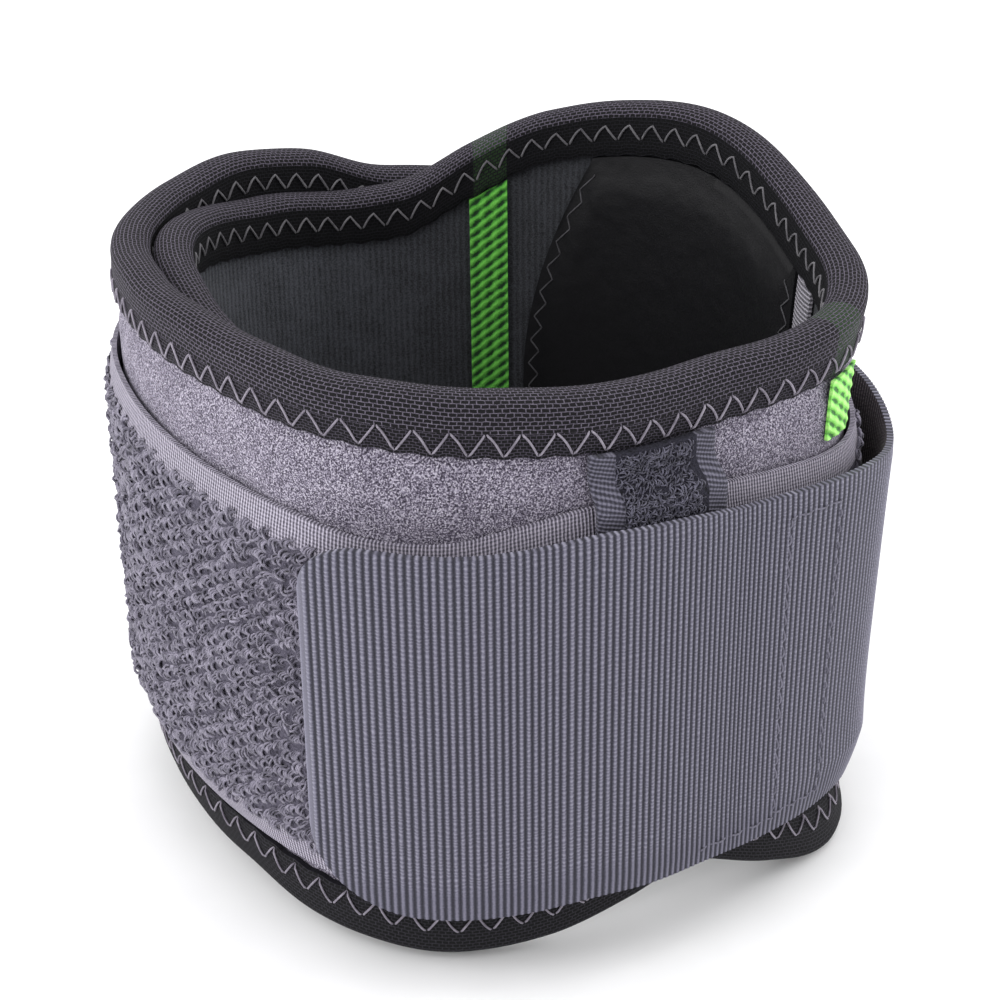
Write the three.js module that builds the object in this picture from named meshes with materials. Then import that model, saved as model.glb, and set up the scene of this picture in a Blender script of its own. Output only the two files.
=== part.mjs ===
// A tennis elbow strap that stands on its hem. A padded band is wrapped one and a half times
// into a spiral, all its edges are bound with knit tape, a strap of loop webbing goes round its
// outside, and a ribbed pull strap closes on that webbing. Millimetres, +Z up.
import * as THREE from "three";

// The band
const armRadius = 45; // usual reach of the middle of the wall from the arm's axis
const braceHeight = 80; // usual height from hem to rim
const wall = 2.6; // padded laminate
const wallPuff = 1; // swell of the outside between the bindings
const puffRun = 3.4; // length over which the swell rises
const endCorner = 12; // rounded corners of the band's two ends
const lean = 0.043; // the soft wall leans to the left by this share of the height

// The edge binding
const bindThickness = 1;
const bindDepth = 7.3; // reach over each face, from the rolled edge

// The straps
const strapWidth = 50;
const pileThickness = 2;
const selvageWidth = 3.5;
const selvageThickness = 1;
const pullWidth = 50.8;
const pullThickness = 1.6;
const pullTopCorner = 6.5; // rounded corners of the pull strap's free end
const pullFootCorner = 11;
const pullSlack = 3; // most that the pull strap stands off what it covers
const tuckRise = 6; // height over which its lower edge turns in below the loop webbing
const hookThickness = 1;
const hookLength = 18;
const hookInset = 4; // the hook patch lies this far inside the pull strap's outline
const seamLength = 15; // the two straps are sewn together over this length

// The small pieces
const keeperWidth = 17;
const keeperThickness = 1;
const keeperStep = 1.2; // it goes at least this far below the loop webbing
const padThickness = 2;
const padLength = 44; // shortest width of the pad round the arm
const padBulge = 11; // how far the round side of the pad goes beyond that
const padGap = 2.4; // between the round side of the pad and the green tape beside it
const greenWidth = 5.8;
const greenThickness = 0.5;

// Clearances
const sewnGap = 0.3; // between two sewn pieces
const lapGap = 0.4; // between the bindings of the two laps

// Places round the arm, degrees from the right, counterclockwise from above
const outerEnd = 75; // the band's outer end, at the back
const innerEnd = 622; // its inner end, one lap and a half further, at the front
const pileEnd = 375; // the loop webbing ends at the right, under the pull strap
const freeEnd = 250; // the pull strap's free end, at the front left
const keeperTurn = 303;
const padTurn = 372; // the pad's straight side
const greenTurn = 342; // the outer green tape
const stationStep = 7.5;
const lap = 360;

// Layers counted outward from the middle of the wall
const foldRoom = sewnGap + bindThickness;
const boundFace = wall / 2 + foldRoom;
const puffFace = wall / 2 + wallPuff;
const clearFace = Math.max(boundFace, puffFace) + sewnGap;
const pileFace = clearFace + pileThickness;
const overPile = pileFace + sewnGap;
const lapPitch = 2 * boundFace + lapGap;

// Reach of the outermost wall, and how far its rim and its hem lie out from that, as shares of
// armRadius; one lap further in, the reach is a pitch less
const FORM = [
  { turn: 75, reach: 1.125, spread: 0, flare: 0 },
  { turn: 105, reach: 1.078, spread: 0, flare: 0 },
  { turn: 135, reach: 1.04, spread: 0, flare: 0 },
  { turn: 165, reach: 0.992, spread: 0, flare: -0.02 },
  { turn: 195, reach: 0.896, spread: 0, flare: -0.06 },
  { turn: 225, reach: 0.866, spread: 0, flare: -0.033 },
  { turn: 255, reach: 0.93, spread: 0, flare: 0 },
  { turn: 285, reach: 0.918, spread: 0, flare: 0 },
  { turn: 315, reach: 0.922, spread: 0, flare: 0.01 },
  { turn: 345, reach: 1.06, spread: 0.042, flare: 0.075 },
  { turn: 375, reach: 1.037, spread: 0.03, flare: 0.045 },
  { turn: 405, reach: 1.043, spread: 0.01, flare: 0 },
];

// Heights of the rolled rim and the hem as shares of braceHeight
const EDGES = [
  { turn: 75, rim: 0.91, hem: 0.01 },
  { turn: 105, rim: 0.925, hem: 0 },
  { turn: 120, rim: 0.972, hem: 0.005 },
  { turn: 135, rim: 0.994, hem: 0.01 },
  { turn: 150, rim: 0.99, hem: 0.019 },
  { turn: 165, rim: 0.985, hem: 0.028 },
  { turn: 180, rim: 0.988, hem: 0.036 },
  { turn: 195, rim: 0.998, hem: 0.042 },
  { turn: 225, rim: 1.003, hem: 0.04 },
  { turn: 255, rim: 1, hem: 0.022 },
  { turn: 270, rim: 0.992, hem: 0.012 },
  { turn: 285, rim: 0.986, hem: 0.03 },
  { turn: 300, rim: 0.981, hem: 0.068 },
  { turn: 315, rim: 0.983, hem: 0.093 },
  { turn: 330, rim: 0.99, hem: 0.038 },
  { turn: 345, rim: 1, hem: 0 },
  { turn: 375, rim: 1.036, hem: 0.015 },
  { turn: 405, rim: 1.105, hem: 0.03 },
  { turn: 435, rim: 1.058, hem: 0.03 },
  { turn: 450, rim: 0.984, hem: 0.027 },
  { turn: 465, rim: 0.913, hem: 0.024 },
  { turn: 495, rim: 0.935, hem: 0.02 },
  { turn: 525, rim: 0.975, hem: 0.022 },
  { turn: 555, rim: 0.962, hem: 0.026 },
  { turn: 585, rim: 0.93, hem: 0.03 },
  { turn: 615, rim: 0.925, hem: 0.03 },
  { turn: 645, rim: 0.925, hem: 0.03 },
];

// Height of the loop webbing's lower edge as a share of braceHeight
const PILE = [
  { turn: 75, foot: 0.17 },
  { turn: 135, foot: 0.17 },
  { turn: 195, foot: 0.17 },
  { turn: 225, foot: 0.158 },
  { turn: 245, foot: 0.154 },
  { turn: 258, foot: 0.138 },
  { turn: 270, foot: 0.141 },
  { turn: 280, foot: 0.165 },
  { turn: 292, foot: 0.187 },
  { turn: 310, foot: 0.19 },
  { turn: 330, foot: 0.178 },
  { turn: 345, foot: 0.162 },
  { turn: 375, foot: 0.155 },
];

// The pull strap: lower edge as a share of braceHeight, laps that it climbs over, and the share of
// its slack at the upper edge and at the lower one, and by which the lower edge turns in
const PULL = [
  { turn: 240, foot: 0.15, laps: 0, slack: 0.44, hug: 0.44, tuck: 0 },
  { turn: 250, foot: 0.141, laps: 0, slack: 0.44, hug: 0.44, tuck: 0 },
  { turn: 260, foot: 0.14, laps: 0, slack: 0.45, hug: 0.44, tuck: 0 },
  { turn: 270, foot: 0.138, laps: 0, slack: 0.45, hug: 0.44, tuck: 0 },
  { turn: 280, foot: 0.146, laps: 0, slack: 0.46, hug: 0.46, tuck: 0 },
  { turn: 290, foot: 0.159, laps: 0, slack: 0.46, hug: 0.48, tuck: 0 },
  { turn: 300, foot: 0.158, laps: 0, slack: 0.5, hug: 0.5, tuck: 0 },
  { turn: 310, foot: 0.161, laps: 0, slack: 0.52, hug: 0.48, tuck: 0 },
  { turn: 320, foot: 0.16, laps: 0, slack: 0.5, hug: 0.38, tuck: 0 },
  { turn: 330, foot: 0.157, laps: 0, slack: 0.52, hug: 0.22, tuck: 0.2 },
  { turn: 340, foot: 0.147, laps: 0, slack: 0.62, hug: 0.08, tuck: 0.5 },
  { turn: 350, foot: 0.125, laps: 0, slack: 0.7, hug: 0.03, tuck: 0.65 },
  { turn: 362, foot: 0.117, laps: 0, slack: 0.73, hug: 0.03, tuck: 0.6 },
  { turn: 375, foot: 0.11, laps: 0, slack: 0.75, hug: 0.03, tuck: 0.3 },
  { turn: 395, foot: 0.098, laps: 0.12, slack: 0.6, hug: 0.15, tuck: 0 },
  { turn: 412, foot: 0.09, laps: 0.5, slack: 0.3, hug: 0.15, tuck: 0 },
  { turn: 428, foot: 0.092, laps: 0.92, slack: 0.1, hug: 0.1, tuck: 0 },
  { turn: 440, foot: 0.104, laps: 1, slack: 0.03, hug: 0.03, tuck: 0 },
  { turn: 470, foot: 0.122, laps: 1, slack: 0.03, hug: 0.03, tuck: 0 },
];

// Smooth curve through a table's values in one column
function curveThrough(rows, column) {
  const slopes = rows.map((row, index) => {
    const before = rows[Math.max(index - 1, 0)];
    const after = rows[Math.min(index + 1, rows.length - 1)];
    return (after[column] - before[column]) / (after.turn - before.turn);
  });
  return (turn) => {
    let index = 0;
    while (index < rows.length - 2 && turn > rows[index + 1].turn) {
      index += 1;
    }
    const span = rows[index + 1].turn - rows[index].turn;
    const share = THREE.MathUtils.clamp((turn - rows[index].turn) / span, 0, 1);
    const square = share * share;
    const cube = square * share;
    return (
      rows[index][column] * (2 * cube - 3 * square + 1) +
      rows[index + 1][column] * (3 * square - 2 * cube) +
      slopes[index] * span * (cube - 2 * square + share) +
      slopes[index + 1] * span * (cube - square)
    );
  };
}

// The form repeats every lap, one pitch further in
const formRows = [-1, 0, 1, 2].flatMap((lapNumber) =>
  FORM.map((row) => ({
    turn: row.turn + lap * lapNumber,
    reach: row.reach * armRadius - lapPitch * lapNumber,
    spread: row.spread * armRadius,
    flare: row.flare * armRadius,
  })),
);
const reachAt = curveThrough(formRows, "reach");
const spreadAt = curveThrough(formRows, "spread");
const flareAt = curveThrough(formRows, "flare");
const rimShare = curveThrough(EDGES, "rim");
const hemShare = curveThrough(EDGES, "hem");
const pileFootShare = curveThrough(PILE, "foot");
const pullFootShare = curveThrough(PULL, "foot");
const pullLaps = curveThrough(PULL, "laps");
const pullSlackShare = curveThrough(PULL, "slack");
const pullHugShare = curveThrough(PULL, "hug");
const pullTuckShare = curveThrough(PULL, "tuck");

const rimAt = (turn) => rimShare(turn) * braceHeight;
const hemAt = (turn) => hemShare(turn) * braceHeight;
const pileFootAt = (turn) => pileFootShare(turn) * braceHeight;
const pullFootAt = (turn) => pullFootShare(turn) * braceHeight;

// How far out the pull strap's inner face lies, at a distance up from its lower edge
function pullInnerAt(turn, up) {
  const slack = THREE.MathUtils.lerp(pullHugShare(turn), pullSlackShare(turn), up / pullWidth);
  const tuck = pullTuckShare(turn) * Math.max(0, 1 - up / tuckRise);
  return overPile + pullLaps(turn) * lapPitch + (slack - tuck) * pullSlack;
}

// Millimetres round the wall for each degree
function runPerDegree(turn) {
  const slope = ((reachAt(turn + 1) - reachAt(turn - 1)) / 2) * (180 / Math.PI);
  return (Math.hypot(reachAt(turn), slope) * Math.PI) / 180;
}

// Run round the wall from the first degree on, summed degree by degree
const runTable = [0];
for (let turn = 1; turn <= 2 * lap; turn += 1) {
  runTable.push(runTable[turn - 1] + runPerDegree(turn - 0.5));
}

function runAt(turn) {
  const whole = Math.floor(turn);
  return THREE.MathUtils.lerp(runTable[whole], runTable[whole + 1], turn - whole);
}

// The turn that lies a distance further round the wall
function goRound(turn, distance) {
  const goal = runAt(turn) + distance;
  let reached = turn + distance / runPerDegree(turn);
  for (let attempt = 0; attempt < 6; attempt += 1) {
    reached += (goal - runAt(reached)) / runPerDegree(reached);
  }
  return reached;
}

// A point at a turn, so far out from the middle of the wall, at a height
function wallPoint(turn, out, z) {
  const angle = THREE.MathUtils.degToRad(turn);
  const reach = reachAt(turn);
  const slope = ((reachAt(turn + 1) - reachAt(turn - 1)) / 2) * (180 / Math.PI);
  const length = Math.hypot(reach, slope);
  const normalX = (reach * Math.cos(angle) + slope * Math.sin(angle)) / length;
  const normalY = (reach * Math.sin(angle) - slope * Math.cos(angle)) / length;
  const fromMiddle = (2 * z) / braceHeight - 1;
  const bend = fromMiddle > 0 ? spreadAt(turn) : flareAt(turn);
  const shift = out + bend * Math.abs(fromMiddle) ** 4;
  const sway = lean * (z - braceHeight / 2);
  return new THREE.Vector3(
    reach * Math.cos(angle) + shift * normalX - sway,
    reach * Math.sin(angle) + shift * normalY,
    z,
  );
}

// Stations shared by all the pieces, so that neighbours bend at the same turns
function stationsBetween(start, end) {
  const margin = stationStep / 5;
  const stations = [start];
  for (let turn = Math.ceil((start + margin) / stationStep) * stationStep; turn < end - margin; turn += stationStep) {
    stations.push(turn);
  }
  stations.push(end);
  return stations;
}

// Distances from an end at which a rounded corner is cut, from the end inward
const cornerTurns = [0, 0.25, 0.5, 0.75, 1].map((share) => (share * Math.PI) / 2);

function closedMesh(points, triangles, name, material) {
  const positions = new Float32Array(points.length * 3);
  points.forEach((point, index) => point.toArray(positions, index * 3));
  let volume = 0;
  for (const [a, b, c] of triangles) {
    volume += points[a].dot(new THREE.Vector3().crossVectors(points[b], points[c]));
  }
  const outward = volume > 0 ? triangles : triangles.map(([a, b, c]) => [a, c, b]);
  const geometry = new THREE.BufferGeometry();
  geometry.setAttribute("position", new THREE.BufferAttribute(positions, 3));
  geometry.setIndex(outward.flat());
  geometry.computeVertexNormals();
  const mesh = new THREE.Mesh(geometry, material);
  mesh.name = name;
  return mesh;
}

// A ply of cloth: columns go round the arm, rows go up, and each cell gives its turn, its height
// and how far out its two faces lie
function ply(name, material, columns, rows, cell) {
  const points = [];
  const triangles = [];
  for (let column = 0; column < columns; column += 1) {
    for (let row = 0; row < rows; row += 1) {
      const { turn, z, inner, outer } = cell(column, row);
      points.push(wallPoint(turn, outer, z), wallPoint(turn, inner, z));
    }
  }
  const outer = (column, row) => 2 * (column * rows + row);
  const inner = (column, row) => outer(column, row) + 1;
  const quad = (a, b, c, d) => triangles.push([a, b, c], [a, c, d]);
  for (let column = 0; column + 1 < columns; column += 1) {
    for (let row = 0; row + 1 < rows; row += 1) {
      quad(outer(column, row), outer(column + 1, row), outer(column + 1, row + 1), outer(column, row + 1));
      quad(inner(column, row), inner(column, row + 1), inner(column + 1, row + 1), inner(column + 1, row));
    }
    quad(outer(column, 0), inner(column, 0), inner(column + 1, 0), outer(column + 1, 0));
    const top = rows - 1;
    quad(outer(column, top), outer(column + 1, top), inner(column + 1, top), inner(column, top));
  }
  for (let row = 0; row + 1 < rows; row += 1) {
    const last = columns - 1;
    quad(outer(0, row), outer(0, row + 1), inner(0, row + 1), inner(0, row));
    quad(outer(last, row), inner(last, row), inner(last, row + 1), outer(last, row + 1));
  }
  return closedMesh(points, triangles, name, material);
}

// The cut edge of the band, inside its binding
const bandStart = goRound(outerEnd, foldRoom);
const bandEnd = goRound(innerEnd, -foldRoom);
const bandTop = (turn) => rimAt(turn) - foldRoom;
const bandFoot = (turn) => hemAt(turn) + foldRoom;

// A length of cloth with rounded corners: how much height each corner takes away
const cornerLoss = (distance, radius) =>
  distance < radius ? radius - Math.sqrt(radius * radius - (radius - distance) * (radius - distance)) : 0;

function bandStations() {
  const corners = cornerTurns.map((angle) => endCorner * (1 - Math.cos(angle)));
  const first = corners.map((distance) => ({ turn: goRound(bandStart, distance), distance }));
  const last = corners.map((distance) => ({ turn: goRound(bandEnd, -distance), distance })).reverse();
  const between = stationsBetween(first[4].turn, last[0].turn).slice(1, -1);
  return [...first, ...between.map((turn) => ({ turn, distance: Infinity })), ...last];
}

// The corner's heights are taken where the corner starts, so its outline is a true quarter round
function cornerAnchor(station) {
  if (station.distance > endCorner) {
    return station.turn;
  }
  const nearStart = station.turn - bandStart < bandEnd - station.turn;
  return nearStart ? goRound(bandStart, endCorner) : goRound(bandEnd, -endCorner);
}

function makeBand() {
  const stations = bandStations();
  const seamLine = bindDepth - foldRoom + 2 * sewnGap;
  const ease = (distance) => THREE.MathUtils.smoothstep(distance, seamLine, seamLine + puffRun);
  const rows = [0, seamLine, seamLine + puffRun];
  const cell = (column, row) => {
    const station = stations[column];
    const anchor = cornerAnchor(station);
    const loss = cornerLoss(station.distance, endCorner);
    const top = bandTop(anchor) - loss;
    const foot = bandFoot(anchor) + loss;
    const fromEdge = row < 3 ? rows[row] : rows[5 - row];
    const puff = row === 2 || row === 3 ? ease(station.distance) * wallPuff : 0;
    return {
      turn: station.turn,
      z: row < 3 ? foot + fromEdge : top - fromEdge,
      inner: -wall / 2,
      outer: wall / 2 + puff,
    };
  };
  return ply("brace_band", materials.plush, stations.length, 6, cell);
}

// The binding's path round the whole edge of the band, with the way inward at each point
function bindingPath() {
  const start = goRound(bandStart, endCorner);
  const end = goRound(bandEnd, -endCorner);
  const along = stationsBetween(start, end);
  const corner = (turn, height, quarter, side) =>
    cornerTurns.slice(1, 4).map((step) => {
      const angle = quarter - step;
      const across = Math.cos(angle);
      const up = Math.sin(angle);
      return {
        turn: goRound(turn, endCorner * across),
        z: height + endCorner * up,
        across: -across,
        up: -up,
        side,
      };
    });
  const right = Math.PI / 2;
  const top = along.map((turn) => ({ turn, z: bandTop(turn), across: 0, up: -1 }));
  const hem = along.map((turn) => ({ turn, z: bandFoot(turn), across: 0, up: 1 })).reverse();
  const endTop = bandTop(end) - endCorner;
  const endFoot = bandFoot(end) + endCorner;
  const startTop = bandTop(start) - endCorner;
  const startFoot = bandFoot(start) + endCorner;
  return [
    ...top,
    ...corner(end, endTop, right, 1),
    { turn: bandEnd, z: endTop, across: -1, up: 0 },
    { turn: bandEnd, z: endFoot, across: -1, up: 0 },
    ...corner(end, endFoot, 0, 1),
    ...hem,
    ...corner(start, startFoot, -right, -1),
    { turn: bandStart, z: startFoot, across: 1, up: 0 },
    { turn: bandStart, z: startTop, across: 1, up: 0 },
    ...corner(start, startTop, -2 * right, -1),
  ];
}

function makeBinding() {
  const deep = bindDepth - foldRoom;
  const channel = wall / 2 + sewnGap;
  const section = [
    [deep, boundFace],
    [0.3 * foldRoom, boundFace],
    [-0.7 * foldRoom, 0.66 * boundFace],
    [-foldRoom, 0],
    [-0.7 * foldRoom, -0.66 * boundFace],
    [0.3 * foldRoom, -boundFace],
    [deep, -boundFace],
    [deep, -channel],
    [deep / 2, -channel],
    [-sewnGap, -channel],
    [-sewnGap, channel],
    [deep / 2, channel],
    [deep, channel],
  ];
  const path = bindingPath();
  const points = path.flatMap((place) =>
    section.map(([depth, out]) =>
      wallPoint(goRound(place.turn, place.across * depth), out, place.z + place.up * depth),
    ),
  );
  const triangles = [];
  const count = section.length;
  path.forEach((place, index) => {
    const here = index * count;
    const next = ((index + 1) % path.length) * count;
    for (let side = 0; side < count; side += 1) {
      const other = (side + 1) % count;
      triangles.push([here + side, next + side, next + other], [here + side, next + other, here + other]);
    }
  });
  return closedMesh(points, triangles, "edge_binding", materials.binding);
}

// The loop webbing starts behind the binding of the band's outer end
const seamStart = goRound(outerEnd, bindDepth + 2 * sewnGap);
const seamEnd = goRound(seamStart, seamLength);

function makePileStrap() {
  const stations = stationsBetween(seamStart, pileEnd);
  const step = (pileThickness - selvageThickness) / 2;
  const heights = [0, selvageWidth, selvageWidth + step];
  const cell = (column, row) => {
    const turn = stations[column];
    const foot = pileFootAt(turn);
    const raised = row === 2 || row === 3;
    return {
      turn,
      z: row < 3 ? foot + heights[row] : foot + strapWidth - heights[5 - row],
      inner: clearFace,
      outer: clearFace + (raised ? pileThickness : selvageThickness),
    };
  };
  return ply("pile_strap", materials.pile, stations.length, 6, cell);
}

function makePullStrap() {
  const corners = cornerTurns.map((angle) => pullFootCorner * (1 - Math.cos(angle)));
  const first = corners.map((distance) => ({ turn: goRound(freeEnd, distance), distance }));
  const rest = stationsBetween(first[4].turn, seamEnd + lap).slice(1);
  const stations = [...first, ...rest.map((turn) => ({ turn, distance: Infinity }))];
  const cell = (column, row) => {
    const { turn, distance } = stations[column];
    const low = cornerLoss(distance, pullFootCorner);
    const up = [low, low + tuckRise, pullWidth - cornerLoss(distance, pullTopCorner)][row];
    const inner = pullInnerAt(turn, up);
    return { turn, z: pullFootAt(turn) + up, inner, outer: inner + pullThickness };
  };
  return ply("pull_strap", materials.elastic, stations.length, 3, cell);
}

// The hook patch lies between the loop webbing and the pull strap's free end
function makeHookPatch() {
  const start = goRound(freeEnd, hookInset);
  const stations = stationsBetween(start, goRound(start, hookLength));
  const cell = (column, row) => {
    const turn = stations[column];
    const up = row === 0 ? hookInset : pullWidth - hookInset;
    const face = pullInnerAt(turn, up) - sewnGap;
    return { turn, z: pullFootAt(turn) + up, inner: face - hookThickness, outer: face };
  };
  return ply("hook_patch", materials.hook, stations.length, 2, cell);
}

// The keeper comes down from the rim's binding, steps over the loop webbing and ends at the hem's
function makeKeeper() {
  const start = goRound(keeperTurn, -keeperWidth / 2);
  const columns = 4;
  const cell = (column, row) => {
    const turn = goRound(start, (keeperWidth * column) / (columns - 1));
    const high = rimAt(turn) - bindDepth - sewnGap;
    const pileTop = pileFootAt(turn) + strapWidth + sewnGap;
    const pileFoot = pileFootAt(turn) - sewnGap;
    const low = Math.min(hemAt(turn) + bindDepth + sewnGap, pileFoot - keeperStep);
    const heights = [low, pileFoot, pileTop, (pileTop + high) / 2, high];
    const onBand = puffFace + sewnGap;
    const faces = [(onBand + overPile) / 2, overPile, overPile, onBand, onBand];
    return { turn, z: heights[row], inner: faces[row], outer: faces[row] + keeperThickness };
  };
  return ply("keeper_tape", materials.keeper, columns, 5, cell);
}

// A pad with one straight side and one round side on the inner face
function makePad() {
  const columns = 9;
  const rows = 9;
  const cell = (column, row) => {
    const up = row / (rows - 1);
    const round = 1 - (2 * up - 1) ** 2;
    const length = padLength + padBulge * round;
    const turn = goRound(padTurn, (length * column) / (columns - 1));
    const low = hemAt(turn) + bindDepth + sewnGap;
    const high = rimAt(turn) - bindDepth - sewnGap;
    const onRim = column === 0 || row === 0 || column === columns - 1 || row === rows - 1;
    const face = -wall / 2 - sewnGap;
    return {
      turn,
      z: THREE.MathUtils.lerp(low, high, up),
      inner: face - padThickness * (onRim ? 0.4 : 1),
      outer: face,
    };
  };
  return ply("pressure_pad", materials.pad, columns, rows, cell);
}

// Upright green tapes: the inner one runs from binding to binding, the outer one shows above the
// loop webbing
function makeGreenTape(name, start, faceIn, lowAt) {
  const cell = (column, row) => {
    const turn = goRound(start, (greenWidth * column) / 2);
    const high = rimAt(turn) - bindDepth - sewnGap;
    return {
      turn,
      z: row === 0 ? lowAt(turn) : high,
      inner: faceIn,
      outer: faceIn + greenThickness,
    };
  };
  return ply(name, materials.green, 3, 2, cell);
}

const cloth = (color, roughness) => new THREE.MeshStandardMaterial({ color, roughness, metalness: 0 });
const materials = {
  plush: cloth(0x9a92a2, 0.95),
  binding: cloth(0x45424c, 0.85),
  pile: cloth(0x6d6b78, 0.95),
  elastic: cloth(0x6e6e80, 0.8),
  hook: cloth(0x2c2b30, 0.7),
  keeper: cloth(0x4c4b58, 0.95),
  pad: cloth(0x18181b, 0.6),
  green: cloth(0x5fd64a, 0.8),
};

const strap = new THREE.Group();
strap.name = "tennis_elbow_strap";
const innerGreenFace = -wall / 2 - sewnGap - greenThickness;
const innerGreenStart = goRound(padTurn, padLength + padBulge + padGap);
const outerGreenStart = goRound(greenTurn, -greenWidth / 2);
const overBinding = (turn) => hemAt(turn) + bindDepth + sewnGap;
const overWebbing = (turn) => pileFootAt(turn) + strapWidth + sewnGap;
strap.add(
  makeBand(),
  makeBinding(),
  makePileStrap(),
  makePullStrap(),
  makeHookPatch(),
  makeKeeper(),
  makePad(),
  makeGreenTape("green_tape_inner", innerGreenStart, innerGreenFace, overBinding),
  makeGreenTape("green_tape_outer", outerGreenStart, puffFace + sewnGap, overWebbing),
);

// The origin is under the middle of the outline, on the surface that the hem stands on
const outline = new THREE.Box3().setFromObject(strap);
const middle = outline.getCenter(new THREE.Vector3());
strap.position.set(-middle.x, -middle.y, -outline.min.z);

export default strap;
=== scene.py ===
"""A tennis elbow strap that stands on its hem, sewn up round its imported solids. Metres, +Z up."""
import math
import bmesh
import bpy
import numpy as np
from mathutils import Matrix, Vector


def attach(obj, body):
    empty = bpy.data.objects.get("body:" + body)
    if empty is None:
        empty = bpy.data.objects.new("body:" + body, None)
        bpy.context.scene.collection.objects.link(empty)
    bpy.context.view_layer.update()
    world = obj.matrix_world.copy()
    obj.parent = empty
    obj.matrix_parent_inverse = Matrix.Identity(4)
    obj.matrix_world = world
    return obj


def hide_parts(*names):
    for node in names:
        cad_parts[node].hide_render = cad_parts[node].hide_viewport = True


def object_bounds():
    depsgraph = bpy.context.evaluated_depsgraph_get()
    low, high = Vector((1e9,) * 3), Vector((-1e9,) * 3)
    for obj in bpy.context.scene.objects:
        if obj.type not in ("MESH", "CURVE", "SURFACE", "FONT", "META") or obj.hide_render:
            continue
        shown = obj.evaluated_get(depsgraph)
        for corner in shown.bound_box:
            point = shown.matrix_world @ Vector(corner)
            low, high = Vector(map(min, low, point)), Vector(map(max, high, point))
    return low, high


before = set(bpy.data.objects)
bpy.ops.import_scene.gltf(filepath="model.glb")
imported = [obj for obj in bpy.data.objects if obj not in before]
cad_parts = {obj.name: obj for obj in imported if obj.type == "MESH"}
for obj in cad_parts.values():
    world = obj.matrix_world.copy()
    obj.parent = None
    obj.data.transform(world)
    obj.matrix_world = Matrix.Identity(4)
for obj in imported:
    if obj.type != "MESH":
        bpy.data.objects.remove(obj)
cad_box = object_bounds()
MM = 0.001


def set_camera():
    """The photograph's view: from the front, a little above, and turned by two degrees."""
    elevation = math.radians(27.73)
    roll = math.radians(2.2)
    forward = Vector((0, math.cos(elevation), -math.sin(elevation)))
    up = Vector((0, math.sin(elevation), math.cos(elevation)))
    right = Vector((1, 0, 0))
    rolled_right = math.cos(roll) * right + math.sin(roll) * up
    rolled_up = math.cos(roll) * up - math.sin(roll) * right
    aim = Vector((1.1397, -3.3619, 43.7813)) * MM
    lens = bpy.data.cameras.new("photograph")
    lens.sensor_width = 36
    lens.lens = 84.74
    lens.clip_start = 0.01
    camera = bpy.data.objects.new("photograph", lens)
    turned = Matrix((rolled_right, rolled_up, -forward)).transposed().to_4x4()
    camera.matrix_world = Matrix.Translation(aim - 319.03 * MM * forward) @ turned
    bpy.context.scene.collection.objects.link(camera)
    bpy.context.scene.camera = camera


set_camera()

# The band's own sizes, in millimetres, as in its solids
ARM_RADIUS = 45
BRACE_HEIGHT = 80
WALL = 2.6
WALL_PUFF = 1
END_CORNER = 12
LEAN = 0.043
BIND_DEPTH = 7.3
STRAP_WIDTH = 50
SELVAGE = 3.5
PULL_WIDTH = 50.8
PULL_TOP_CORNER = 6.5
PULL_FOOT_CORNER = 11
PULL_SLACK = 3
TUCK_RISE = 6
HOOK_INSET = 4
SEWN_GAP = 0.3
FOLD_ROOM = 1.3
BOUND_FACE = 2.6
PUFF_FACE = 2.3
CLEAR_FACE = 2.9
OVER_PILE = 5.2
LAP_PITCH = 5.6
HOOK_WIDTH = 18
KEEPER_WIDTH = 17
KEEPER_STEP = 1.2
KEEPER_SELVAGE = 3.2
PAD_LENGTH = 44
PAD_BULGE = 11
PAD_MEAN_LENGTH = 50
PAD_HEIGHT = 60
PAD_GAP = 2.4
GREEN_WIDTH = 5.8
GREEN_PITCH = 1.6
SHADE_WIDTH = 26
THREAD_SIDES = 5
INNER_FACE = -WALL / 2 - SEWN_GAP
GROUP_SHIFT = (-3.5703, -3.3619, 0.0413)

# Places round the arm, in degrees
OUTER_END = 75
INNER_END = 622
PILE_END = 375
FREE_END = 250
KEEPER_TURN = 303
PAD_TURN = 372
GREEN_TURN = 342
SHADE_TURN = 450

# Turn, reach, spread of the rim and flare of the hem
FORM = (
    (75, 1.125, 0, 0), (105, 1.078, 0, 0), (135, 1.04, 0, 0), (165, 0.992, 0, -0.02),
    (195, 0.896, 0, -0.06), (225, 0.866, 0, -0.033), (255, 0.93, 0, 0), (285, 0.918, 0, 0),
    (315, 0.922, 0, 0.01), (345, 1.06, 0.042, 0.075), (375, 1.037, 0.03, 0.045), (405, 1.043, 0.01, 0),
)
# Turn, height of the rim and height of the hem
EDGES = (
    (75, 0.91, 0.01), (105, 0.925, 0), (120, 0.972, 0.005), (135, 0.994, 0.01), (150, 0.99, 0.019),
    (165, 0.985, 0.028), (180, 0.988, 0.036), (195, 0.998, 0.042), (225, 1.003, 0.04), (255, 1, 0.022),
    (270, 0.992, 0.012), (285, 0.986, 0.03), (300, 0.981, 0.068), (315, 0.983, 0.093),
    (330, 0.99, 0.038), (345, 1, 0), (375, 1.036, 0.015), (405, 1.105, 0.03), (435, 1.058, 0.03),
    (450, 0.984, 0.027), (465, 0.913, 0.024), (495, 0.935, 0.02), (525, 0.975, 0.022),
    (555, 0.962, 0.026), (585, 0.93, 0.03), (615, 0.925, 0.03), (645, 0.925, 0.03),
)
PILE = (
    (75, 0.17), (135, 0.17), (195, 0.17), (225, 0.158), (245, 0.154), (258, 0.138), (270, 0.141),
    (280, 0.165), (292, 0.187), (310, 0.19), (330, 0.178), (345, 0.162), (375, 0.155),
)
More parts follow.
